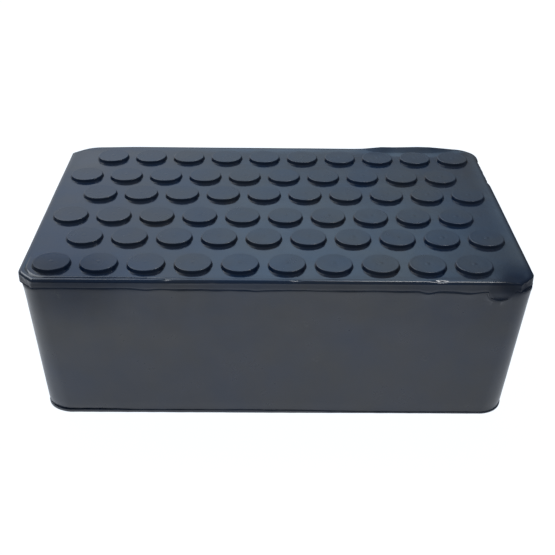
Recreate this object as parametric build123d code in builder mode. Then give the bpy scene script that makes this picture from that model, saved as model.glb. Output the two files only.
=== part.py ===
from build123d import *
import math
import os

# A moulded rubber block for lifts and jacks: a drafted body under a studded plate, all one piece.
# Millimetres, +X along the length, +Y towards the back, +Z up, origin under the middle of the block.

# Overall, measured over the fin at the parting line, which is the widest line of the block
block_length = 150.0
block_width = 100.0
plate_level = 50.0

# Plate, formed by the upper half of the mould
plate_depth = 3.2
plate_draft = 1.0
rim_radius = 0.7
front_corner_cut = 5.0
cut_end_radius = 4.0
back_left_radius = 10.0
back_right_radius = 8.0

# Thin fin of flash round the parting line
fin_height = 0.4
fin_proud = 0.1

# Body, formed by the lower half of the mould, which closed a little to the right of the upper half
ledge = 0.6
body_draft = 4.25
body_corner_radius = 5.5
mould_shift = 0.4

# Trimmed lip of flash round the base
lip_height = 1.4
lip_proud = 0.45

# Half-moon tongue of spilled rubber under the plate, near the front right corner
tongue_from_right = 10.5
tongue_radius = 3.8
tongue_rise = 0.8
tongue_proud = 0.4

# Ridge of flash with two low humps, on the back rim towards the right
ridge_from_right = 23.5
ridge_length = 33.0
ridge_rise = 0.6
ridge_root = 0.5
ridge_thickness = 0.4
ridge_from_back = 0.5

# Studs, in two interleaved grids: the front one stands half a pitch to the left of the back one.
# As many columns and rows stand on the plate as fit inside the margin.
stud_diameter = 10.8
stud_height = 1.0
stud_pitch = 13.75
grid_row_pitch = 31.3
row_step = 16.55
stud_margin = 2.0
field_x = -0.5
field_y = -0.9

parting_level = plate_level - plate_depth
body_length = block_length - 2 * ledge
body_width = block_width - 2 * ledge
body_taper = parting_level * math.tan(math.radians(body_draft))
lip_length = body_length - 2 * body_taper + 2 * lip_proud
lip_width = body_width - 2 * body_taper + 2 * lip_proud
lip_radius = body_corner_radius + lip_proud
tongue_x = block_length / 2 - tongue_from_right
ridge_x = block_length / 2 - ridge_from_right
ridge_y = block_width / 2 - ridge_from_back
stagger = stud_pitch / 2
field_length = block_length - 2 * (stud_margin + abs(field_x)) - stagger - stud_diameter
field_width = block_width - 2 * (stud_margin + abs(field_y)) - row_step - stud_diameter
stud_columns = math.floor(field_length / stud_pitch) + 1
grid_rows = math.floor(field_width / grid_row_pitch) + 1

floor_plane = Plane.XY
parting_plane = Plane.XY.offset(parting_level)
plate_plane = Plane.XY.offset(plate_level)
tongue_plane = Plane.XZ.offset(body_width / 2 + tongue_proud)
ridge_plane = Plane(origin=(ridge_x, ridge_y, plate_level), x_dir=(1, 0, 0), z_dir=(0, -1, 0))
to_back_left = Axis((0, 0, 0), (-1, 1, 0))
to_back_right = Axis((0, 0, 0), (1, 1, 0))

with BuildPart() as block:
    # Body, narrowing from the parting line down to the floor, with upright edges of one radius
    with BuildSketch(parting_plane):
        with Locations((mould_shift, 0)):
            Rectangle(body_length, body_width)
    extrude(amount=-parting_level, taper=body_draft)
    fillet(block.edges().sort_by(SortBy.LENGTH)[:4], body_corner_radius)

    # Lip round the base
    with BuildSketch(floor_plane):
        with Locations((mould_shift, 0)):
            RectangleRounded(lip_length, lip_width, lip_radius)
    extrude(amount=lip_height)

    # Fin at the parting line, with cut corners in front and round ones behind
    with BuildSketch(parting_plane) as fin_plan:
        Rectangle(block_length, block_width)
        chamfer(fin_plan.vertices().group_by(Axis.Y)[0], front_corner_cut)
        fillet(fin_plan.vertices().group_by(Axis.Y)[1], cut_end_radius)
        fillet(fin_plan.vertices().sort_by(to_back_left)[-1], back_left_radius)
        fillet(fin_plan.vertices().sort_by(to_back_right)[-1], back_right_radius)
    extrude(amount=fin_height)

    # Plate, narrowing a little from the parting line up to its rolled rim
    with BuildSketch(parting_plane):
        add(fin_plan.sketch_local)
        offset(amount=-fin_proud, kind=Kind.INTERSECTION)
    extrude(amount=plate_depth, taper=plate_draft)
    plate_face = block.faces().sort_by(Axis.Z)[-1]
    fillet(plate_face.edges(), rim_radius)

    # Tongue, a thin half disc lying on the front face under the plate
    with BuildSketch(tongue_plane):
        with Locations((tongue_x, parting_level + tongue_rise)):
            Circle(tongue_radius)
        with Locations((tongue_x, parting_level)):
            Rectangle(2 * tongue_radius, tongue_radius, align=(Align.CENTER, Align.MAX), mode=Mode.INTERSECT)
    extrude(amount=-2 * tongue_proud)

    # Ridge, a thin upright wall of flash on the rolled rim
    with BuildSketch(ridge_plane):
        with BuildLine():
            Spline(
                (-ridge_length / 2, -ridge_root),
                (-ridge_length / 4, 0.85 * ridge_rise),
                (-ridge_length / 12, 0.7 * ridge_rise),
                (ridge_length / 6, ridge_rise),
                (ridge_length / 2, -ridge_root),
            )
            Line((ridge_length / 2, -ridge_root), (-ridge_length / 2, -ridge_root))
        make_face()
    extrude(amount=ridge_thickness)

    # Studs
    with BuildSketch(plate_plane):
        for side in (1, -1):
            with Locations((field_x + side * stagger / 2, field_y + side * row_step / 2)):
                with GridLocations(stud_pitch, grid_row_pitch, stud_columns, grid_rows):
                    Circle(stud_diameter / 2)
    extrude(amount=stud_height)

block.part.label = "rubber_block"
os.makedirs("parts", exist_ok=True)
export_step(block.part, "parts/rubber_block.step")
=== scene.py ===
import math

import bpy
from mathutils import Matrix, Vector, noise
from mathutils.geometry import delaunay_2d_cdt


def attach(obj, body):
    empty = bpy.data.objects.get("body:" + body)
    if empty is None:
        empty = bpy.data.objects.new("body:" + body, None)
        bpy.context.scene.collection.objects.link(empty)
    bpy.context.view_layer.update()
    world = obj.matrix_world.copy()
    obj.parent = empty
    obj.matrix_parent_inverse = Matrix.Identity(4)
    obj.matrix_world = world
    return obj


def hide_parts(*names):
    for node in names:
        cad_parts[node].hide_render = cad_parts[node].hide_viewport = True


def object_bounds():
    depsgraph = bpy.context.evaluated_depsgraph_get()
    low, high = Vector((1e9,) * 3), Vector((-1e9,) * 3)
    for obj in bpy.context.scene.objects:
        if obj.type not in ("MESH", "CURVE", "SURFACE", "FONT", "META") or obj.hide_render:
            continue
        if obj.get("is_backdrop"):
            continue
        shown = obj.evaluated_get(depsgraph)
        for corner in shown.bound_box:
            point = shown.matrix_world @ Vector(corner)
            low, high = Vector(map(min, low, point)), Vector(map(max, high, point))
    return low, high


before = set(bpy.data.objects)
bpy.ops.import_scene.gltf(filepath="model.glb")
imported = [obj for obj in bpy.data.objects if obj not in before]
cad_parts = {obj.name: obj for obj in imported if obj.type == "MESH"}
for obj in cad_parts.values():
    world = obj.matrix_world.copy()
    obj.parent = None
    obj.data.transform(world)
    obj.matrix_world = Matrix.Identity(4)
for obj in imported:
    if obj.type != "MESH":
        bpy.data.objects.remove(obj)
cad_low, cad_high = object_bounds()

# A moulded rubber block with a studded top, on a white studio floor.
# Shapes are worked out in millimetres in the block's own frame and turned into metres at the end:
# +X along the length, +Y towards the back, +Z up, origin under the middle of the block.
MM = 0.001

# Overall, from the CAD model's box
HALF_LENGTH = cad_high[0] / MM
HALF_WIDTH = cad_high[1] / MM
STUD_LEVEL = cad_high[2] / MM
STUD_HEIGHT = 1.0
PLATE_DEPTH = 3.2
PLATE_LEVEL = STUD_LEVEL - STUD_HEIGHT
PARTING_LEVEL = PLATE_LEVEL - PLATE_DEPTH
# Everything stays this far inside the box
MARGIN = 0.03

# Plate, from the upper half of the mould. Its front corners and its back left one are cut, and each
# cut ends in a rounder corner on one side and a sharper one on the other.
FRONT_CUT = 5.0
BACK_CUT_LENGTH = 5.6
BACK_CUT_WIDTH = 5.8
CUT_SIDE_RADIUS = 4.0
CUT_BACK_RADIUS = 11.0
CUT_SHARP_RADIUS = 0.5
LEAST_RADIUS = 0.25
BACK_RIGHT_RADIUS = 8.0
PLATE_INSET = 0.1
PLATE_SLOPE = math.tan(math.radians(1.0))
# The plate's face lies this far under its level, which leaves room for its unevenness
PLATE_SUNK = 0.05
ROLL_RADIUS = 0.9
INNER_RADIUS = 9.0
INNER_INSET = 2.4

# Body, from the lower half of the mould, which closed a little to the right of the upper half
BODY_INSET = 0.6
BODY_SHIFT = 0.4
BODY_CORNER = 5.6
BODY_CORNER_GROWTH = 0.4
BODY_SLOPE = math.tan(math.radians(4.25))

# Studs, in two grids: the front one stands half a pitch to the left of the back one
STUD_RADIUS = 5.38
STUD_PITCH = 13.75
STUD_COLUMNS = 10
GRID_ROWS = 3
GRID_ROW_PITCH = 31.3
ROW_STEP = 16.55
STAGGER = STUD_PITCH / 2
FIELD_X = -0.5
FIELD_Y = -0.9
STUD_SEGMENTS = 48

# How many points each stretch of the block's outline gets
FRONT_POINTS = 230
SIDE_POINTS = 100
BACK_POINTS = 130
ARC_POINTS = 6
CUT_POINTS = 12
CORNER_POINTS = 2 * ARC_POINTS + CUT_POINTS

# The camera, found from the rims of the studs and the outline of the block
CAMERA_AT = (-3.722, -278.582, 184.564)
CAMERA_PITCH = math.radians(30.218)
CAMERA_YAW = math.radians(0.944)
CAMERA_ROLL = math.radians(0.874)
CAMERA_LENS = 60.58
SENSOR_WIDTH = 36.0


def ripple(x, y, z, size, shift):
    """Smooth unevenness between about -1 and 1, with hills about size apart."""
    return noise.noise(Vector((x / size + shift, y / size - shift, z / size + 2.3 * shift)))


def bell(value, middle, width):
    """1 at the middle, falling softly to 0 over the width."""
    return math.exp(-(((value - middle) / width) ** 2))


def step(value, low, high):
    """Rises softly from 0 to 1 between low and high."""
    t = min(1.0, max(0.0, (value - low) / (high - low)))
    return t * t * (3 - 2 * t)


def blend(a, b, t):
    """The value that is the share t of the way from a to b."""
    return a + (b - a) * t


# Outlines


def corner_arc(corner, before, after, radius, inset, count):
    """Points round one convex corner, from the side it comes in on to the side it leaves on."""
    into = Vector((corner[0] - before[0], corner[1] - before[1])).normalized()
    out = Vector((after[0] - corner[0], after[1] - corner[1])).normalized()
    turn = math.acos(max(-1.0, min(1.0, into.dot(out))))
    left_in = Vector((-into.y, into.x))
    left_out = Vector((-out.y, out.x))
    bisector = (left_in + left_out).normalized()
    at = Vector(corner) + bisector * inset / math.cos(turn / 2)
    r = max(radius - inset, LEAST_RADIUS)
    centre = at + bisector * r / math.cos(turn / 2)
    start = math.atan2(-left_in.y, -left_in.x)
    return [
        (
            centre.x + r * math.cos(start + turn * k / (count - 1)),
            centre.y + r * math.sin(start + turn * k / (count - 1)),
        )
        for k in range(count)
    ]


def straight(a, b, count):
    """Points between two ends, without the ends themselves."""
    shares = [(k + 1) / (count + 1) for k in range(count)]
    return [(blend(a[0], b[0], t), blend(a[1], b[1], t)) for t in shares]


def outline(corners, inset, joins):
    """A closed outline through corners (x, y, radius, points), with so many points on each side."""
    arcs = []
    for k, (x, y, radius, count) in enumerate(corners):
        before = corners[k - 1]
        after = corners[(k + 1) % len(corners)]
        arcs.append(corner_arc((x, y), before[:2], after[:2], radius, inset, count))
    points = []
    for k, arc in enumerate(arcs):
        following = arcs[(k + 1) % len(arcs)]
        points += arc + straight(arc[-1], following[0], joins[k])
    return points


def cut_outline(inset):
    """The plate with its cut corners, anticlockwise from the front left."""
    x, y = HALF_LENGTH - MARGIN, HALF_WIDTH - MARGIN
    corners = [
        (-x, -y + FRONT_CUT, CUT_SIDE_RADIUS, ARC_POINTS),
        (-x + FRONT_CUT, -y, CUT_SHARP_RADIUS, ARC_POINTS),
        (x - FRONT_CUT, -y, CUT_SHARP_RADIUS, ARC_POINTS),
        (x, -y + FRONT_CUT, CUT_SIDE_RADIUS, ARC_POINTS),
        (x, y, BACK_RIGHT_RADIUS, CORNER_POINTS),
        (-x + BACK_CUT_LENGTH, y, CUT_BACK_RADIUS, ARC_POINTS),
        (-x, y - BACK_CUT_WIDTH, CUT_SHARP_RADIUS, ARC_POINTS),
    ]
    joins = (
        CUT_POINTS,
        FRONT_POINTS,
        CUT_POINTS,
        SIDE_POINTS,
        BACK_POINTS,
        CUT_POINTS,
        SIDE_POINTS,
    )
    return outline(corners, inset, joins)


def round_outline(inset, radius, shift):
    """The block's rectangle with four round corners, its points in step with the cut outline's."""
    x, y = HALF_LENGTH - MARGIN, HALF_WIDTH - MARGIN
    corners = [
        (-x + shift, -y, radius, CORNER_POINTS),
        (x + shift, -y, radius, CORNER_POINTS),
        (x + shift, y, radius, CORNER_POINTS),
        (-x + shift, y, radius, CORNER_POINTS),
    ]
    return outline(corners, inset, (FRONT_POINTS, SIDE_POINTS, BACK_POINTS, SIDE_POINTS))


def inner_outline(inset):
    """The line just inside the plate's rim."""
    return round_outline(inset, INNER_RADIUS, 0.0)


def body_outline(inset):
    """The body's outline, its corners a little rounder towards the floor."""
    radius = BODY_CORNER + BODY_CORNER_GROWTH * (inset - BODY_INSET)
    return round_outline(inset, radius + inset, BODY_SHIFT)


def between(ring_a, ring_b, t):
    """A ring that is the share t of the way from one ring to another."""
    return [(blend(a[0], b[0], t), blend(a[1], b[1], t)) for a, b in zip(ring_a, ring_b)]


def normals(ring):
    """The outward direction at each point of a ring that runs anticlockwise."""
    found = []
    for k in range(len(ring)):
        a, b = ring[k - 1], ring[(k + 1) % len(ring)]
        along = Vector((b[0] - a[0], b[1] - a[1])).normalized()
        found.append((along.y, -along.x))
    return found


EDGE = cut_outline(0.0)
COUNT = len(EDGE)


# What varies round the block. A range says where a change starts and where it is complete.
FRONT_RANGE = (HALF_WIDTH - 6.0, HALF_WIDTH - 1.0)
# The cut corners' own roughness starts a little inside their line
CUT_LINE = HALF_LENGTH + HALF_WIDTH - FRONT_CUT - 0.6
CUT_RANGE = (0.0, 0.5)


def front(y):
    """1 on the front side, 0 away from it."""
    return step(-y, *FRONT_RANGE)


def on_cut(x, y):
    """1 on the cut front corners, 0 elsewhere."""
    past = abs(x) + abs(y) - CUT_LINE
    return step(past, *CUT_RANGE) if y < 0 else 0.0


# Places along the front where the fin of flash hangs down: where, how wide, how far
HANGS = (
    (-37.5, 2.6, 0.4),
    (-28.0, 4.0, 0.12),
    (-6.2, 1.8, 0.25),
    (43.5, 2.2, 0.75),
    (56.0, 3.0, 0.5),
)
# How far it hangs down, raggedly, on the cut corners
CUT_HANG = 0.35
# The parting line climbs along the front towards the left
CLIMB = 0.3
CLIMB_RANGE = (5.0, 45.0)
# Half-moon tongue of spilled rubber at the front right
TONGUE_X = 64.6
TONGUE_RADIUS = 3.9
TONGUE_DEPTH = 2.8


def tongue(x, y):
    """How far down the tongue reaches, as a share of its depth."""
    reach = 1 - ((x - TONGUE_X) / TONGUE_RADIUS) ** 2
    return front(y) * math.sqrt(max(0.0, reach))


def parting(k):
    """Height of the wavy parting line."""
    x, y = EDGE[k]
    z = PARTING_LEVEL + 0.14 * ripple(x, y, 0, 9.0, 1.7) + 0.07 * ripple(x, y, 0, 2.6, 4.1)
    z += CLIMB * front(y) * step(-x, *CLIMB_RANGE)
    for where, width, depth in HANGS:
        z -= front(y) * depth * bell(x, where, width)
    z -= TONGUE_DEPTH * tongue(x, y)
    return z - CUT_HANG * on_cut(x, y) * (0.5 + 0.5 * ripple(x, y, 0, 1.3, 9.9))


# How far back the fin is torn: anywhere, more on the short sides, and at the tongue
FIN_TORN = 0.1
FIN_TORN_SIDES = 0.1
FIN_AT_TONGUE = 0.3
FIN_SIDE_RANGE = (HALF_LENGTH - 3.0, HALF_LENGTH - 0.5)


def fin_tip(k):
    """How far the fin's ragged tip stays back from the widest outline."""
    x, y = EDGE[k]
    torn = FIN_TORN * (0.5 + 0.5 * ripple(x, y, 0, 2.1, 7.7))
    side = FIN_TORN_SIDES * step(abs(x), *FIN_SIDE_RANGE) * (0.5 + 0.5 * ripple(x, y, 0, 5.0, 3.3))
    return torn + side + FIN_AT_TONGUE * tongue(x, y)


# Lip round the base: its height in general and at the two ends of the front, how far it stands out
# in general and at the front right, and where along the front it changes
LIP_HEIGHT = 1.15
LIP_LEFT_HEIGHT = 1.1
LIP_RIGHT_HEIGHT = 0.7
LIP_PROUD = 0.24
LIP_RIGHT_PROUD = 0.2
LIP_RANGE = (0.0, 38.0)
# Small nubs of flash standing out from the lip on the two short sides, near the front
NUBS = ((-HALF_LENGTH, -39.6), (HALF_LENGTH, -42.6))
NUB_RADIUS = 0.9
NUB_PROUD = 0.35
# Depth of the fold over the lip, in general and how much more at the front left corner
FOLD_DEPTH = 0.02
FOLD_CORNER_DEPTH = 0.13
FOLD_LEFT_RANGE = (42.0, 64.0)
FOLD_FRONT_RANGE = (30.0, 40.0)


def lip_height(k):
    """Height of the lip, which is lower at the front right."""
    x, y = EDGE[k]
    along_front = blend(LIP_LEFT_HEIGHT, LIP_RIGHT_HEIGHT, step(x, *LIP_RANGE))
    tall = blend(LIP_HEIGHT, along_front, front(y))
    return tall + 0.07 * ripple(x, y, 0, 7.0, 5.9) + 0.05 * ripple(x, y, 0, 2.2, 8.3)


def lip_proud(k):
    """How far the lip stands out from the body, a little less at the front right."""
    x, y = EDGE[k]
    nub = sum(bell(math.hypot(x - at_x, y - at_y), 0.0, NUB_RADIUS) for at_x, at_y in NUBS)
    proud = blend(LIP_PROUD, LIP_RIGHT_PROUD, front(y) * step(x, *LIP_RANGE))
    return proud + 0.06 * ripple(x, y, 0, 3.4, 9.1) + NUB_PROUD * nub


def lip_fold(k):
    """Depth of the fold over the lip, which is clear only at the front left corner."""
    x, y = EDGE[k]
    corner = step(-x, *FOLD_LEFT_RANGE) * step(-y, *FOLD_FRONT_RANGE)
    return FOLD_DEPTH + FOLD_CORNER_DEPTH * corner


# How clear the line under the fin is at its faintest, and how much clearer it gets
SEAM_FAINT = 0.05
SEAM_CLEARER = 0.6
SEAM_RANGE = (-0.35, 0.45)
SEAM_END_RANGE = (TONGUE_X - 9.0, TONGUE_X - 4.0)


def seam_depth(k):
    """How clear the line under the fin is: it comes and goes, and ends before the tongue."""
    x, y = EDGE[k]
    broken = SEAM_FAINT + SEAM_CLEARER * step(ripple(x, y, 0, 7.0, 15.3), *SEAM_RANGE)
    return blend(broken, 0.0, front(y) * step(x, *SEAM_END_RANGE))


PARTING = [parting(k) for k in range(COUNT)]
FIN = [fin_tip(k) for k in range(COUNT)]
LIP = [lip_height(k) for k in range(COUNT)]
PROUD = [lip_proud(k) for k in range(COUNT)]
FOLD = [lip_fold(k) for k in range(COUNT)]
SEAM = [seam_depth(k) for k in range(COUNT)]


# Ridge of flash on the back rim, to which the plate rises evenly: where and how high
RIDGE = (
    (30.0, 0.0),
    (33.0, 0.1),
    (37.5, 0.55),
    (40.0, 0.8),
    (44.4, 0.75),
    (49.0, 0.86),
    (53.6, 1.0),
    (58.1, 0.9),
    (62.5, 0.53),
    (66.9, 0.13),
    (71.0, 0.0),
)
RIDGE_FOOT = HALF_WIDTH - 6.0
RIDGE_TOP = HALF_WIDTH - 1.0
# Nicks in the front rim: where, how wide, how deep
NICKS = ((-32.0, 1.2, 0.22), (6.1, 1.4, 0.2), (47.0, 2.0, 0.3))
# How deep the plate sinks at two corners, and between which distances from the corner that ends
FRONT_RIGHT_SINK = 0.52
FRONT_RIGHT_RANGE = (2.0, 11.0)
BACK_LEFT_SINK = 0.3
BACK_LEFT_RANGE = (6.0, 26.0)
# How deep it sinks inside the rim, and between which distances from the rim that starts
INSIDE_SINK = 0.09
INSIDE_RANGE = (1.5, 4.0)


def ridge(x):
    """Height of the ridge of flash along the back rim."""
    for (before, low), (after, high) in zip(RIDGE, RIDGE[1:]):
        if before <= x < after:
            return blend(low, high, (x - before) / (after - before))
    return 0.0


def plate_surface(x, y):
    """The plate's uneven face: it sinks at two corners and inside the rim and rises to the ridge."""
    z = PLATE_LEVEL - PLATE_SUNK
    z += 0.05 * ripple(x, y, 0, 18.0, 2.2) + 0.012 * ripple(x, y, 0, 5.0, 6.4)
    front_right = math.hypot(x - HALF_LENGTH, y + HALF_WIDTH)
    back_left = math.hypot(x + HALF_LENGTH, y - HALF_WIDTH)
    z -= FRONT_RIGHT_SINK * (1 - step(front_right, *FRONT_RIGHT_RANGE))
    z -= BACK_LEFT_SINK * (1 - step(back_left, *BACK_LEFT_RANGE))
    from_rim = min(HALF_LENGTH - abs(x), HALF_WIDTH - abs(y))
    z -= INSIDE_SINK * step(from_rim, *INSIDE_RANGE)
    rise = min(1.0, max(0.0, (y - RIDGE_FOOT) / (RIDGE_TOP - RIDGE_FOOT)))
    z = min(z, PLATE_LEVEL) + ridge(x) * rise
    return min(z, STUD_LEVEL - MARGIN)


def rim_drop(x, y):
    """How far a nick lowers the rolled rim."""
    return front(y) * sum(depth * bell(x, where, width) for where, width, depth in NICKS)


# Rings of the side, from the floor up; each is a list of (x, y, z)
rings = []


def add_ring(flat, heights, push=None):
    """Adds a ring: flat points, a height for each, and a push outwards for each."""
    if push:
        out = normals(flat)
        flat = [(x + out[k][0] * push[k], y + out[k][1] * push[k]) for k, (x, y) in enumerate(flat)]
    rings.append([(x, y, heights[k]) for k, (x, y) in enumerate(flat)])


def body_inset(z):
    """How far the body's side lies inside the block's outline at a height."""
    return BODY_INSET + (PARTING_LEVEL - z) * BODY_SLOPE


def level(z):
    """One height for a whole ring."""
    return [z] * COUNT


# How much wider the base is than the body's slope gives: at front and back, and how much more on the
# left and on the right. It fades out at the flare's height.
FLARE_FRONT = 0.35
FLARE_LEFT = 0.65
FLARE_RIGHT = 0.25
FLARE_HEIGHT = 42.0
FLARE_SIDE_RANGE = (HALF_LENGTH - 5.0, HALF_LENGTH - 1.0)


def side_flare(k, z):
    """The sides slope a little less towards the floor, the left one least."""
    x, y = EDGE[k]
    left = step(-x, *FLARE_SIDE_RANGE)
    right = step(x, *FLARE_SIDE_RANGE)
    most = FLARE_FRONT + FLARE_LEFT * left + FLARE_RIGHT * right
    return most * max(0.0, 1 - z / FLARE_HEIGHT)


# The underside's two rings lie this far in. That must be less than the corners' radius, or a ring
# would cross itself there.
UNDERSIDE_MARGINS = (4.0, 1.2)
base = body_outline(body_inset(0.0))
FLARE = [side_flare(k, 0.0) for k in range(COUNT)]
for margin in UNDERSIDE_MARGINS:
    add_ring(base, level(0.0), [-margin] * COUNT)

# Lip round the base: height over the floor, or over the lip's own height, and push out from its side
LIP_FOOT = ((0.0, -0.3), (0.08, -0.12), (0.22, -0.05))
LIP_TOP = ((-0.14, 0.0), (-0.04, -0.04), (0.0, -0.12))
for rise, push in LIP_FOOT:
    add_ring(base, level(rise), [FLARE[k] + PROUD[k] + push for k in range(COUNT)])
for rise, push in LIP_TOP:
    pushes = [FLARE[k] + PROUD[k] + push for k in range(COUNT)]
    add_ring(base, [height + rise for height in LIP], pushes)

# Fold over the lip, where the lip meets the wall: heights over the lip, and the wall's foot
FOLD_RISES = (0.03, 0.12)
WALL_FOOT_RISE = 0.45
WALL_FOOT_PUSH = 0.04
for rise in FOLD_RISES:
    add_ring(base, [height + rise for height in LIP], [FLARE[k] - FOLD[k] for k in range(COUNT)])
add_ring(base, [height + WALL_FOOT_RISE for height in LIP], [f - WALL_FOOT_PUSH for f in FLARE])


def wall_push(k, z):
    """Gentle unevenness of the body's walls, with faint upright streaks, and their flare."""
    x, y = EDGE[k]
    broad = 0.10 * ripple(x, y, 0.6 * z, 26.0, 3.9)
    fine = 0.016 * ripple(x, y, 0.35 * z, 6.0, 5.2)
    return broad + fine + side_flare(k, z)


# Shoulder of the body under the fin: drop under the parting line and push outwards where the line
# under the fin is clear. The wall's unevenness carries on as it is at the shoulder's level.
SHOULDER = ((0.75, 0.0), (0.55, -0.03), (0.42, -0.08), (0.32, -0.15), (0.16, -0.2))
SHOULDER_LEVEL = 46.0
# The wall's rings, which keep clear of the shoulder, also where it dips round the tongue
WALL_LOW = 2.9
WALL_HIGH = 45.2
WALL_RINGS = 24
TONGUE_CLEAR = 0.4
for n in range(WALL_RINGS):
    z = blend(WALL_LOW, WALL_HIGH, n / (WALL_RINGS - 1))
    clear = TONGUE_CLEAR * (WALL_HIGH - z) / WALL_HIGH
    heights = [min(z, p - SHOULDER[0][0] - clear) for p in PARTING]
    flat = body_outline(body_inset(z))
    add_ring(flat, heights, [wall_push(k, z) for k in range(COUNT)])

under = body_outline(BODY_INSET)
for drop, push in SHOULDER:
    pushes = [push * SEAM[k] + wall_push(k, SHOULDER_LEVEL) for k in range(COUNT)]
    add_ring(under, [p - drop for p in PARTING], pushes)

# The fin: its underside part of the way out, its tip, and its top side back to the plate's edge
FIN_PART_WAY = 0.6
FIN_UNDERSIDE = 0.05
FIN_THICKNESS = 0.14
FIN_LEAN = 0.03
FIN_END = 0.3
FIN_END_INSET = 0.1
add_ring(between(under, EDGE, FIN_PART_WAY), [p - FIN_UNDERSIDE for p in PARTING])
add_ring(EDGE, PARTING, [-f for f in FIN])
add_ring(EDGE, [p + FIN_THICKNESS for p in PARTING], [-f - FIN_LEAN for f in FIN])
add_ring(EDGE, [p + FIN_END for p in PARTING], [-PLATE_INSET - FIN_END_INSET] * COUNT)

# Ragged teeth of flash along the back half of the right side
TEETH_START_RANGE = (17.0, 20.0)
TEETH_END_RANGE = (39.0, 41.0)
TEETH_SIDE_RANGE = (HALF_LENGTH - 2.5, HALF_LENGTH - 1.0)
TEETH_DEPTH = 0.9
# Share of the teeth's depth that is left where the roll meets the plate
TEETH_ON_TOP = 0.6


def torn_edge(k, z):
    """How far the right edge is torn back between its teeth."""
    x, y = EDGE[k]
    along = step(y, *TEETH_START_RANGE) * (1 - step(y, *TEETH_END_RANGE))
    gaps = 0.5 + 0.5 * ripple(x, 0.7 * y, 0.5 * z, 1.5, 2.9)
    return TEETH_DEPTH * step(x, *TEETH_SIDE_RANGE) * along * gaps


# The tongue's face leans in by this much at its lowest point
TONGUE_LEAN = 0.3
TONGUE_RANGE = (PARTING_LEVEL - TONGUE_DEPTH, PARTING_LEVEL)
# The plate's edge is nowhere pushed out further than this
BAND_LIMIT = PLATE_INSET - 0.01


def band_push(k, z):
    """The plate's edge is rougher than the body, most of all on its cut corners."""
    x, y = EDGE[k]
    plain = 0.02 * ripple(x, y, z, 2.4, 11.3) + 0.04 * ripple(x, y, z, 8.0, 12.9)
    streaks = 0.2 * ripple(x + z, y, 0.25 * z, 1.1, 6.1)
    leaning = -TONGUE_LEAN * tongue(x, y) * (1 - step(z, *TONGUE_RANGE))
    rough = blend(plain, streaks, on_cut(x, y))
    return min(BAND_LIMIT, rough + leaning - torn_edge(k, z))


# The plate's edge, from above the fin to the foot of the rolled rim
ROLL_START = PLATE_LEVEL - PLATE_SUNK - ROLL_RADIUS
BAND_HEIGHT = ROLL_START - PARTING_LEVEL
BAND_START = 0.6
BAND_RINGS = 5
for n in range(BAND_RINGS):
    t = n / (BAND_RINGS - 1)
    heights = [blend(p + BAND_START, ROLL_START, t) for p in PARTING]
    flat = cut_outline(PLATE_INSET + t * BAND_HEIGHT * PLATE_SLOPE)
    add_ring(flat, heights, [band_push(k, heights[k]) for k in range(COUNT)])

# A thin line of rubber along the rim's foot: height over it and push outwards, and where it runs
BEAD_RINGS = ((0.04, 0.05), (0.1, 0.02), (0.16, -0.16))
BEAD_START_RANGE = (-71.0, -67.0)
BEAD_END_RANGE = (-34.0, -12.0)


def bead(x, y):
    """1 along the left part of the front, where the thin line of rubber is."""
    return front(y) * (1 - step(x, *BEAD_END_RANGE)) * step(x, *BEAD_START_RANGE)


side_inset = PLATE_INSET + BAND_HEIGHT * PLATE_SLOPE
for rise, push in BEAD_RINGS:
    beads = [band_push(k, ROLL_START) + push * bead(*EDGE[k]) for k in range(COUNT)]
    add_ring(cut_outline(side_inset), level(ROLL_START + rise), beads)

# The rolled rim
ROLL_STEPS = 7
for n in range(1, ROLL_STEPS + 1):
    a = math.pi / 2 * n / ROLL_STEPS
    flat = cut_outline(side_inset + ROLL_RADIUS * (1 - math.cos(a)))
    heights = []
    for x, y in flat:
        z = plate_surface(x, y) - ROLL_RADIUS * (1 - math.sin(a))
        heights.append(min(z - math.sin(a) ** 2 * rim_drop(x, y), STUD_LEVEL - MARGIN))
    pushes = []
    for k in range(COUNT):
        fading = (1 - math.sin(a)) * band_push(k, ROLL_START)
        pushes.append(fading - TEETH_ON_TOP * math.sin(a) * torn_edge(k, ROLL_START))
    add_ring(flat, heights, pushes)


# A groove just inside the front rim: its depth, and how much deeper it is at the left. It goes a
# little way up the left side and fades out towards the right.
GROOVE_DEPTH = 0.06
GROOVE_LEFT_DEPTH = 0.18
GROOVE_LEFT_RANGE = (-48.0, -22.0)
GROOVE_SIDE_RANGE = (-46.0, -30.0)
GROOVE_SLANT = 0.15
GROOVE_SLANT_RANGE = (40.0, 46.0)


def groove(x, y):
    """Depth of the groove just inside the front rim."""
    depth = GROOVE_DEPTH + GROOVE_LEFT_DEPTH * (1 - step(x, *GROOVE_LEFT_RANGE))
    on_side = 1 - step(y, *GROOVE_SIDE_RANGE)
    return depth * on_side * step(-y - GROOVE_SLANT * x, *GROOVE_SLANT_RANGE)


# Rings between the rolled rim and the plate's flat face: inset and share of the groove's depth. They
# turn from the cut outline to the round one.
GROOVE_RINGS = (
    (1.35, 0.0),
    (1.65, 0.45),
    (1.85, 1.0),
    (2.05, 0.45),
    (2.25, 0.1),
    (INNER_INSET, 0.0),
)
TURN_RANGE = (ROLL_RADIUS, 1.8)
for inset, share in GROOVE_RINGS:
    flat = between(cut_outline(inset), inner_outline(inset), step(inset, *TURN_RANGE))
    heights = [plate_surface(x, y) - share * groove(x, y) for x, y in flat]
    left_over = TEETH_ON_TOP * (INNER_INSET - inset) / (INNER_INSET - ROLL_RADIUS)
    add_ring(flat, heights, [-left_over * torn_edge(k, ROLL_START) for k in range(COUNT)])

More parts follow.
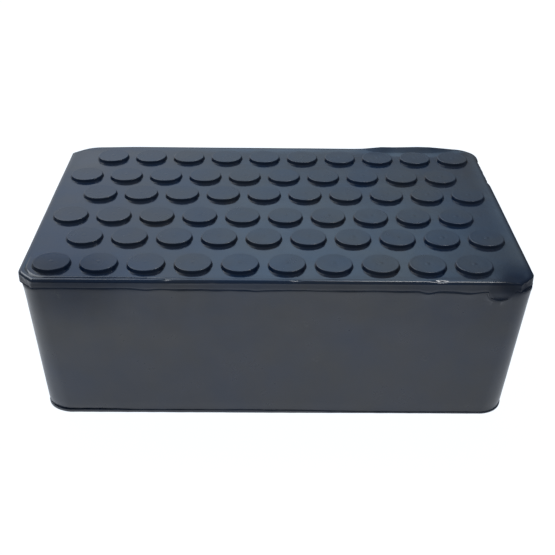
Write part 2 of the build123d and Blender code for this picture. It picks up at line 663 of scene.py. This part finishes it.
# The mesh so far: the underside's one face, and the faces between the rings
verts =[point for ring in rings for point in ring]
faces = [tuple(reversed(range(COUNT)))]
for r in range(len(rings) - 1):
    for k in range(COUNT):
        following = (k + 1) % COUNT
        low, high = r * COUNT, (r + 1) * COUNT
        faces.append((low + k, low + following, high + following, high + k))

# Studs
stud_centres = []
for side in (1, -1):
    for row in range(GRID_ROWS):
        for column in range(STUD_COLUMNS):
            x = FIELD_X + side * STAGGER / 2 + (column - (STUD_COLUMNS - 1) / 2) * STUD_PITCH
            y = FIELD_Y + side * ROW_STEP / 2 + (row - (GRID_ROWS - 1) / 2) * GRID_ROW_PITCH
            stud_centres.append((x, y))

# The stud's section: distance out from its wall and height as a share of the stud's
STUD_SIDE = (
    (0.38, 0.0),
    (0.34, 0.1),
    (0.16, 0.5),
    (0.03, 0.84),
    (-0.02, 0.93),
    (-0.08, 0.98),
    (-0.16, 1.0),
    (-0.3, 1.0),
)
STUD_FOOT = STUD_RADIUS + STUD_SIDE[0][0]
# Rings left by the turned mould on the stud's top: radius and height over or under the top
STUD_TOP = (
    (4.7, -0.005),
    (4.3, -0.025),
    (3.9, -0.01),
    (3.4, -0.03),
    (2.9, -0.01),
    (2.4, -0.035),
    (1.9, -0.015),
    (1.4, -0.035),
    (0.9, -0.04),
    (0.55, -0.03),
    (0.3, 0.01),
)
# The studs differ in height by up to about this much either way
STUD_UNEVEN = 0.03


def circle(centre, radius, k):
    """The flat place of one point of a stud's ring."""
    a =2 * math.pi * k / STUD_SEGMENTS
    return centre[0] + radius * math.cos(a), centre[1] + radius * math.sin(a)


foot_start = []
for centre in stud_centres:
    first = len(verts)
    foot_start.append(first)
    top = STUD_LEVEL - MARGIN - STUD_UNEVEN * (1 + ripple(centre[0], centre[1], 0, 9.0, 14.1))
    section = [(STUD_RADIUS + out, share, 0.0) for out, share in STUD_SIDE]
    section += [(radius, 1.0, rise) for radius, rise in STUD_TOP]
    for radius, share, rise in section:
        for k in range(STUD_SEGMENTS):
            x, y = circle(centre, radius, k)
            verts.append((x, y, blend(plate_surface(x, y), top, share) + rise))
    for r in range(len(section) - 1):
        for k in range(STUD_SEGMENTS):
            following = (k + 1) % STUD_SEGMENTS
            low, high = first + r * STUD_SEGMENTS, first + (r + 1) * STUD_SEGMENTS
            faces.append((low + k, low + following, high + following, high + k))
    last = first + (len(section) - 1) * STUD_SEGMENTS
    faces.append(tuple(range(last, last + STUD_SEGMENTS)))

# The plate's face between the studs
inner_start = (len(rings) - 1) * COUNT
flat_points = [(x, y) for x, y, z in rings[-1]]
owners = [inner_start + k for k in range(COUNT)]
fixed_edges = [(k, (k + 1) % COUNT) for k in range(COUNT)]
for first in foot_start:
    at = len(flat_points)
    for k in range(STUD_SEGMENTS):
        flat_points.append(verts[first + k][:2])
        owners.append(first + k)
        fixed_edges.append((at + k, at + (k + 1) % STUD_SEGMENTS))

# Points on the plate: how far apart along a row, how far apart the rows are as a share of that, and
# how far they keep from the rim and the studs
GRID = 2.3
GRID_ROW_SHARE = 0.866
CLEAR = 0.8
# Points nearer to each other than this are one
SAME_POINT = 1e-5
# A face whose middle lies within this share of a stud's foot is under the stud
UNDER_STUD = 0.9975
inner_x = HALF_LENGTH - INNER_INSET - CLEAR
inner_y = HALF_WIDTH - INNER_INSET - CLEAR


def inside(x, y):
    """Whether a point of the plate is clear of the rim and of every stud."""
    if abs(x) > inner_x or abs(y) > inner_y:
        return False
    far_x, far_y = abs(x) - (inner_x - INNER_RADIUS), abs(y) - (inner_y - INNER_RADIUS)
    if far_x > 0 and far_y > 0 and math.hypot(far_x, far_y) > INNER_RADIUS:
        return False
    return all(math.hypot(x - cx, y - cy) > STUD_FOOT + CLEAR for cx, cy in stud_centres)


row = 0
y = -inner_y
while y <= inner_y:
    x = -inner_x + (row % 2) * GRID / 2
    while x <= inner_x:
        if inside(x, y):
            flat_points.append((x, y))
            owners.append(len(verts))
            verts.append((x, y, plate_surface(x, y)))
        x += GRID
    y += GRID * GRID_ROW_SHARE
    row += 1

made = delaunay_2d_cdt([Vector(p) for p in flat_points], fixed_edges, [], 0, SAME_POINT, True)
made_verts, made_faces, made_from = made[0], made[2], made[3]
for face in made_faces:
    mid_x = sum(made_verts[v].x for v in face) / len(face)
    mid_y = sum(made_verts[v].y for v in face) / len(face)
    if any(math.hypot(mid_x - cx, mid_y - cy) < UNDER_STUD * STUD_FOOT for cx, cy in stud_centres):
        continue
    faces.append(tuple(owners[made_from[v][0]] for v in face))

# Edges that turn more than this stay sharp
SHARP = math.radians(50)
mesh =bpy.data.meshes.new("moulded_block")
mesh.from_pydata([(x * MM, y * MM, z * MM) for x, y, z in verts], [], faces)
mesh.validate()
mesh.shade_smooth()
mesh.set_sharp_from_angle(angle=SHARP)
block = bpy.data.objects.new("moulded_block", mesh)
bpy.context.scene.collection.objects.link(block)

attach(block, "root")
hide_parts("rubber_block")

# Nodes


def add_node(tree, kind, **values):
    """A node with its inputs set by name."""
    node = tree.nodes.new(kind)
    for name, value in values.items():
        node.inputs[name].default_value = value
    return node


def math_node(tree, operation, first, second, clamp=True):
    """A maths node; each operand is a number or an output to link."""
    node = tree.nodes.new("ShaderNodeMath")
    node.operation = operation
    node.use_clamp = clamp
    for slot, operand in enumerate((first, second)):
        if isinstance(operand, (int, float)):
            node.inputs[slot].default_value = operand
        else:
            tree.links.new(operand, node.inputs[slot])
    return node.outputs["Value"]


def range_node(tree, value, low, high, to_low=0.0, to_high=1.0):
    """Maps a value softly from one range to another."""
    node = tree.nodes.new("ShaderNodeMapRange")
    node.interpolation_type = "SMOOTHSTEP"
    settings = (("From Min", low), ("From Max", high), ("To Min", to_low), ("To Max", to_high))
    for name, number in settings:
        node.inputs[name].default_value = number
    tree.links.new(value, node.inputs["Value"])
    return node.outputs["Result"]


# Rubber
rubber = bpy.data.materials.new("rubber")
rubber.use_nodes = True
tree = rubber.node_tree
shader = tree.nodes["Principled BSDF"]
coords = tree.nodes.new("ShaderNodeTexCoord")
place = tree.nodes.new("ShaderNodeSeparateXYZ")
tree.links.new(coords.outputs["Object"], place.inputs["Vector"])


def near_node(point):
    """How far a place on the rubber is from a point given in millimetres."""
    far = tree.nodes.new("ShaderNodeVectorMath")
    far.operation = "DISTANCE"
    far.inputs[1].default_value = [value * MM for value in point]
    tree.links.new(coords.outputs["Object"], far.inputs[0])
    return far.outputs["Value"]


# The studs' walls are dull, and their tops a little, most of all at the front left. So are some
# patches: the spilled tongue, the front right corner and its rim, the front rim's left part and the
# left end of the ridge. A patch has a middle, an inner and an outer radius, and how much of the
# shine is left in it.
SHINE = 0.75
WALL_SHINE = 0.25
TOPS_SHINE = 0.63
WORN_SHINE = 0.33
WORN_CORNER = (-70.0, -45.0, STUD_LEVEL)
WORN_REACH = (2.0, 30.0)
# Heights at which the shine turns from the plate's to the walls', and from the walls' to the tops'
WALL_RANGE = (PLATE_LEVEL + 0.03, PLATE_LEVEL + 0.12)
TOPS_RANGE = (STUD_LEVEL - 0.3, STUD_LEVEL - 0.1)
DULL = (
    ((TONGUE_X, -HALF_WIDTH, PARTING_LEVEL + 0.5), 3.0, 5.0, 0.66),
    ((HALF_LENGTH - 5.0, -HALF_WIDTH + 6.5, PLATE_LEVEL), 3.0, 9.0, 0.45),
    ((HALF_LENGTH - 6.5, -HALF_WIDTH + 0.5, PLATE_LEVEL), 3.0, 7.0, 0.4),
    ((-58.0, -HALF_WIDTH, PLATE_LEVEL), 4.0, 20.0, 0.6),
    ((37.0, HALF_WIDTH - 2.5, PLATE_LEVEL + 0.5), 4.0, 9.0, 0.55),
)
# The rims of the two short sides and of the back are dull too
RIM_DULL = (HALF_LENGTH - 1.0, HALF_LENGTH - 0.5)
BACK_DULL = (HALF_WIDTH - 2.0, HALF_WIDTH - 1.3)
RIM_SHINE = 0.35
BACK_SHINE = 0.4


def mm_range_node(value, low, high, to_low=0.0, to_high=1.0):
    """Maps a place on the rubber from a range given in millimetres."""
    return range_node(tree, value, low * MM, high * MM, to_low, to_high)


walls = mm_range_node(place.outputs["Z"], *WALL_RANGE, SHINE, WALL_SHINE)
worn = mm_range_node(near_node(WORN_CORNER), *WORN_REACH, WORN_SHINE, TOPS_SHINE)
shine = mm_range_node(place.outputs["Z"], *TOPS_RANGE)
tree.links.new(walls, shine.node.inputs["To Min"])
tree.links.new(worn, shine.node.inputs["To Max"])
for middle, inner, outer, left_over in DULL:
    patch = mm_range_node(near_node(middle), inner, outer, left_over, 1.0)
    shine = math_node(tree, "MULTIPLY", shine, patch)
from_middle = math_node(tree, "ABSOLUTE", place.outputs["X"], 0.0)
rims = mm_range_node(from_middle, *RIM_DULL, 1.0, RIM_SHINE)
shine = math_node(tree, "MULTIPLY", shine, rims)
back_rim = mm_range_node(place.outputs["Y"], *BACK_DULL, 1.0, BACK_SHINE)
shine = math_node(tree, "MULTIPLY", shine, back_rim)
# The export drops a linked specular level, so the plain value is on the socket as well
shader.inputs["Specular IOR Level"].default_value = SHINE
tree.links.new(shine, shader.inputs["Specular IOR Level"])


def noise_node(scale, detail, roughness):
    """Cloudy noise over the rubber, scale hills to a metre."""
    node =add_node(tree, "ShaderNodeTexNoise", Scale=scale, Detail=detail, Roughness=roughness)
    tree.links.new(coords.outputs["Object"], node.inputs["Vector"])
    return node.outputs["Fac"]


# Colour: bluish black with browner clouds
tint = tree.nodes.new("ShaderNodeValToRGB")
tint.color_ramp.elements[0].position = 0.35
tint.color_ramp.elements[0].color = (0.011, 0.024, 0.052, 1)
tint.color_ramp.elements[1].position = 0.65
tint.color_ramp.elements[1].color = (0.030, 0.031, 0.036, 1)
tree.links.new(noise_node(45.0, 4.0, 0.55), tint.inputs["Fac"])

# Specks of dust and small scuffs on the front: x, z and size in millimetres
SPECKS = ((-63.2, 44.9, 0.8), (8.1, 34.4, 0.6), (12.1, 21.5, 0.7), (45.1, 22.1, 0.6))
# Their middles lie in one upright plane near the leaning front. A speck is full within the core's
# radius, and gone at the fade's radius plus its own size.
FRONT_Y = -HALF_WIDTH + 1.5
SPECK_CORE = 0.7
SPECK_FADE = 1.2
spots = 0.0
for x, z, size in SPECKS:
    spot = mm_range_node(near_node((x, FRONT_Y, z)), SPECK_CORE, SPECK_FADE + size, 1.0, 0.0)
    spots = math_node(tree, "MAXIMUM", spots, spot)
grains = range_node(tree, noise_node(900.0, 2.0, 0.5), 0.45, 0.6)
dust = math_node(tree, "MULTIPLY", spots, grains)
dusty =tree.nodes.new("ShaderNodeMix")
dusty.data_type = "RGBA"
dusty.inputs[7].default_value = (0.05, 0.055, 0.06, 1)
tree.links.new(dust, dusty.inputs[0])
tree.links.new(tint.outputs["Color"], dusty.inputs[6])
tree.links.new(dusty.outputs[2], shader.inputs["Base Color"])

# Roughness by height: satin walls, a rougher parting band, a glossy plate, less glossy stud tops
FINISH = (
    (PARTING_LEVEL - 0.6, 0.30),
    (PARTING_LEVEL, 0.45),
    (ROLL_START - 0.1, 0.45),
    (ROLL_START + 0.2, 0.11),
    (STUD_LEVEL - 0.4, 0.11),
    (STUD_LEVEL - 0.12, 0.22),
)
FINISH_FROM = PARTING_LEVEL - 2.0
FINISH_SPAN = STUD_LEVEL - FINISH_FROM
finish = tree.nodes.new("ShaderNodeValToRGB")
ramp = finish.color_ramp
while len(ramp.elements) < len(FINISH):
    ramp.elements.new(0.5)
for element, (z, roughness) in zip(ramp.elements, FINISH):
    element.position = (z - FINISH_FROM) / FINISH_SPAN
    element.color = (roughness, roughness, roughness, 1)
above = math_node(tree, "SUBTRACT", place.outputs["Z"], FINISH_FROM * MM)
tree.links.new(math_node(tree, "DIVIDE", above, FINISH_SPAN * MM), finish.inputs["Fac"])
patches = range_node(tree, noise_node(120.0, 5.0, 0.6), 0.3, 0.7, -0.03, 0.06)
gloss = math_node(tree, "ADD", finish.outputs["Color"], patches)
tree.links.new(gloss, shader.inputs["Roughness"])

# A fine grain
bump = add_node(tree, "ShaderNodeBump", Strength=0.1, Distance=0.0002)
tree.links.new(noise_node(900.0, 3.0, 0.6), bump.inputs["Height"])
tree.links.new(bump.outputs["Normal"], shader.inputs["Normal"])
mesh.materials.append(rubber)

# Floor. It and what follows are in metres.
FLOOR_SIZE = 3.0
# How much of the floor's white glow shows, directly and mirrored in the rubber, and between which
# distances from the block's middle the mirrored glow fades. The mirrored glow is a painted
# reflection.
WHITE_SEEN = 0.95
WHITE_MIRRORED = 0.82
WHITE_REACH = (0.10, 0.28)
# Left of the block the mirrored glow is brighter, and right of it dimmer: painted reflection in the
# rubber
BRIGHT_SIDE = (-0.14, -0.085)
BRIGHTER = 1.5
DIM_SIDE = (0.03, 0.09)
DIMMER = 0.85
floor_mesh = bpy.data.meshes.new("floor")
h = FLOOR_SIZE / 2
floor_mesh.from_pydata([(-h, -h, 0), (h, -h, 0), (h, h, 0), (-h, h, 0)], [], [(0, 1, 2, 3)])
floor = bpy.data.objects.new("floor", floor_mesh)
bpy.context.scene.collection.objects.link(floor)
floor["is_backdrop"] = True
white = bpy.data.materials.new("floor_white")
white.use_nodes = True
floor_tree = white.node_tree
paper = floor_tree.nodes["Principled BSDF"]
paper.inputs["Base Color"].default_value = (0.93, 0.93, 0.93, 1)
paper.inputs["Roughness"].default_value = 0.9
paper.inputs["Specular IOR Level"].default_value = 0.0
# The floor glows though it is no lamp: plain white for the camera, and a painted reflection for the
# rubber's mirror rays
glow = add_node(floor_tree, "ShaderNodeEmission", Color=(1.04, 1.1, 1.18, 1))
floor_seen = floor_tree.nodes.new("ShaderNodeLightPath")
spot_on_floor = floor_tree.nodes.new("ShaderNodeTexCoord")
out_from_block = floor_tree.nodes.new("ShaderNodeVectorMath")
out_from_block.operation = "LENGTH"
floor_tree.links.new(spot_on_floor.outputs["Object"], out_from_block.inputs[0])
near = range_node(floor_tree, out_from_block.outputs["Value"], *WHITE_REACH, 1.0, 0.0)
across_floor = floor_tree.nodes.new("ShaderNodeSeparateXYZ")
floor_tree.links.new(spot_on_floor.outputs["Object"], across_floor.inputs["Vector"])
left_side = range_node(floor_tree, across_floor.outputs["X"], *BRIGHT_SIDE, BRIGHTER, 1.0)
right_side = range_node(floor_tree, across_floor.outputs["X"], *DIM_SIDE, 1.0, DIMMER)
dimmed = math_node(floor_tree, "MULTIPLY", near, right_side)
mirrored_glow_strength = math_node(floor_tree, "MULTIPLY", left_side, dimmed, clamp=False)
full = math_node(floor_tree, "MAXIMUM", floor_seen.outputs["Is Camera Ray"], mirrored_glow_strength, clamp=False)
floor_tree.links.new(full, glow.inputs["Strength"])
mirrored = math_node(floor_tree, "MULTIPLY", floor_seen.outputs["Is Glossy Ray"], WHITE_MIRRORED)
directly = math_node(floor_tree, "MULTIPLY", floor_seen.outputs["Is Camera Ray"], WHITE_SEEN)
floor_mix = floor_tree.nodes.new("ShaderNodeMixShader")
floor_tree.links.new(math_node(floor_tree, "MAXIMUM", mirrored, directly), floor_mix.inputs["Fac"])
floor_tree.links.new(paper.outputs["BSDF"], floor_mix.inputs[1])
floor_tree.links.new(glow.outputs["Emission"], floor_mix.inputs[2])
floor_surface = floor_tree.nodes["Material Output"].inputs["Surface"]
floor_tree.links.new(floor_mix.outputs["Shader"], floor_surface)
floor_mesh.materials.append(white)

# The room: bluish and bright behind on the left, darker behind on the right, dark on the camera's
# side. The ranges are directions: sideways, up and back, each from -1 to 1.
ROOM_SPREAD = (-0.45, 0.45)
ROOM_UP_RANGE = (0.37, 0.47)
ROOM_BACK_RANGE = (0.35, 0.72)
CAMERA_SIDE = (0.13, 0.18, 0.26, 1)
world = bpy.data.worlds.new("studio")
bpy.context.scene.world = world
world.use_nodes = True
sky = world.node_tree
background = sky.nodes["Background"]
ways = sky.nodes.new("ShaderNodeTexCoord")
split = sky.nodes.new("ShaderNodeSeparateXYZ")
sky.links.new(ways.outputs["Generated"], split.inputs["Vector"])
across = sky.nodes.new("ShaderNodeMapRange")
across.inputs["From Min"].default_value = ROOM_SPREAD[0]
across.inputs["From Max"].default_value = ROOM_SPREAD[1]
sky.links.new(split.outputs["X"], across.inputs["Value"])


def tone_ramp(colors):
    """Colours spread evenly across the room from left to right."""
    node = sky.nodes.new("ShaderNodeValToRGB")
    node.color_ramp.interpolation = "LINEAR"
    elements = node.color_ramp.elements
    while len(elements) < len(colors):
        elements.new(0.5)
    for k, color in enumerate(colors):
        elements[k].position = k / (len(colors) - 1)
        elements[k].color = (*color, 1)
    sky.links.new(across.outputs["Result"], node.inputs["Fac"])
    return node.outputs["Color"]


# Behind the block, from left to right: low in the room, and higher up
LOW_TONES = (
    (0.78, 0.84, 0.92),
    (0.72, 0.79, 0.88),
    (0.58, 0.65, 0.74),
    (0.36, 0.42, 0.47),
    (0.24, 0.26, 0.28),
    (0.13, 0.14, 0.16),
    (0.08, 0.09, 0.10),
)
HIGH_TONES = (
    (0.50, 0.58, 0.74),
    (0.54, 0.63, 0.82),
    (0.56, 0.71, 0.95),
    (0.67, 0.92, 1.23),
    (0.55, 0.76, 0.99),
    (0.14, 0.19, 0.25),
    (0.06, 0.08, 0.11),
)
behind = sky.nodes.new("ShaderNodeMix")
behind.data_type = "RGBA"
sky.links.new(range_node(sky, split.outputs["Z"], *ROOM_UP_RANGE), behind.inputs[0])
sky.links.new(tone_ramp(LOW_TONES), behind.inputs[6])
sky.links.new(tone_ramp(HIGH_TONES), behind.inputs[7])
room = sky.nodes.new("ShaderNodeMix")
room.data_type = "RGBA"
room.inputs[6].default_value = CAMERA_SIDE
sky.links.new(range_node(sky, split.outputs["Y"], *ROOM_BACK_RANGE), room.inputs[0])
sky.links.new(behind.outputs[2], room.inputs[7])
sky.links.new(room.outputs[2], background.inputs["Color"])

# Seen directly, the room is plain white
plain_white = add_node(sky, "ShaderNodeBackground", Color=(1, 1, 1, 1), Strength=1.0)
room_seen = sky.nodes.new("ShaderNodeLightPath")
room_mix = sky.nodes.new("ShaderNodeMixShader")
sky.links.new(room_seen.outputs["Is Camera Ray"], room_mix.inputs["Fac"])
sky.links.new(background.outputs["Background"], room_mix.inputs[1])
sky.links.new(plain_white.outputs["Background"], room_mix.inputs[2])
sky.links.new(room_mix.outputs["Shader"], sky.nodes["World Output"].inputs["Surface"])


def softbox(name, at, width, height, power, color):
    """A rectangular lamp that faces the block."""
    light = bpy.data.lights.new(name, "AREA")
    light.shape = "RECTANGLE"
    light.size, light.size_y = width, height
    light.energy = power
    light.color = color
    holder = bpy.data.objects.new(name, light)
    holder.location = at
    holder.rotation_mode = "QUATERNION"
    holder.rotation_quaternion = (-Vector(at)).to_track_quat("-Z", "Y")
    bpy.context.scene.collection.objects.link(holder)


softbox("left", (-0.5, 0.36, 0.78), 0.7, 0.6, 3.6, (0.9, 0.96, 1.0))
softbox("back_right", (0.21, 0.25, 0.8), 0.3, 0.16, 1.4, (1.0, 1.0, 1.0))

# Camera
camera_data = bpy.data.cameras.new("camera")
camera_data.sensor_width = SENSOR_WIDTH
camera_data.lens = CAMERA_LENS
camera_data.clip_start = 0.01
camera_data.clip_end = 20.0
forward = Vector(
    (
        math.sin(CAMERA_YAW) * math.cos(CAMERA_PITCH),
        math.cos(CAMERA_YAW) * math.cos(CAMERA_PITCH),
        -math.sin(CAMERA_PITCH),
    )
)
level_right = forward.cross(Vector((0, 0, 1))).normalized()
level_up = level_right.cross(forward)
right = math.cos(CAMERA_ROLL) * level_right + math.sin(CAMERA_ROLL) * level_up
up = -math.sin(CAMERA_ROLL) * level_right + math.cos(CAMERA_ROLL) * level_up
turned = Matrix((right, up, -forward)).transposed().to_4x4()
camera = bpy.data.objects.new("camera", camera_data)
camera.matrix_world = Matrix.Translation(Vector(CAMERA_AT) * MM) @ turned
bpy.context.scene.collection.objects.link(camera)
bpy.context.scene.camera = camera
bpy.context.scene.view_settings.view_transform = "Standard"

low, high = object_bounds()
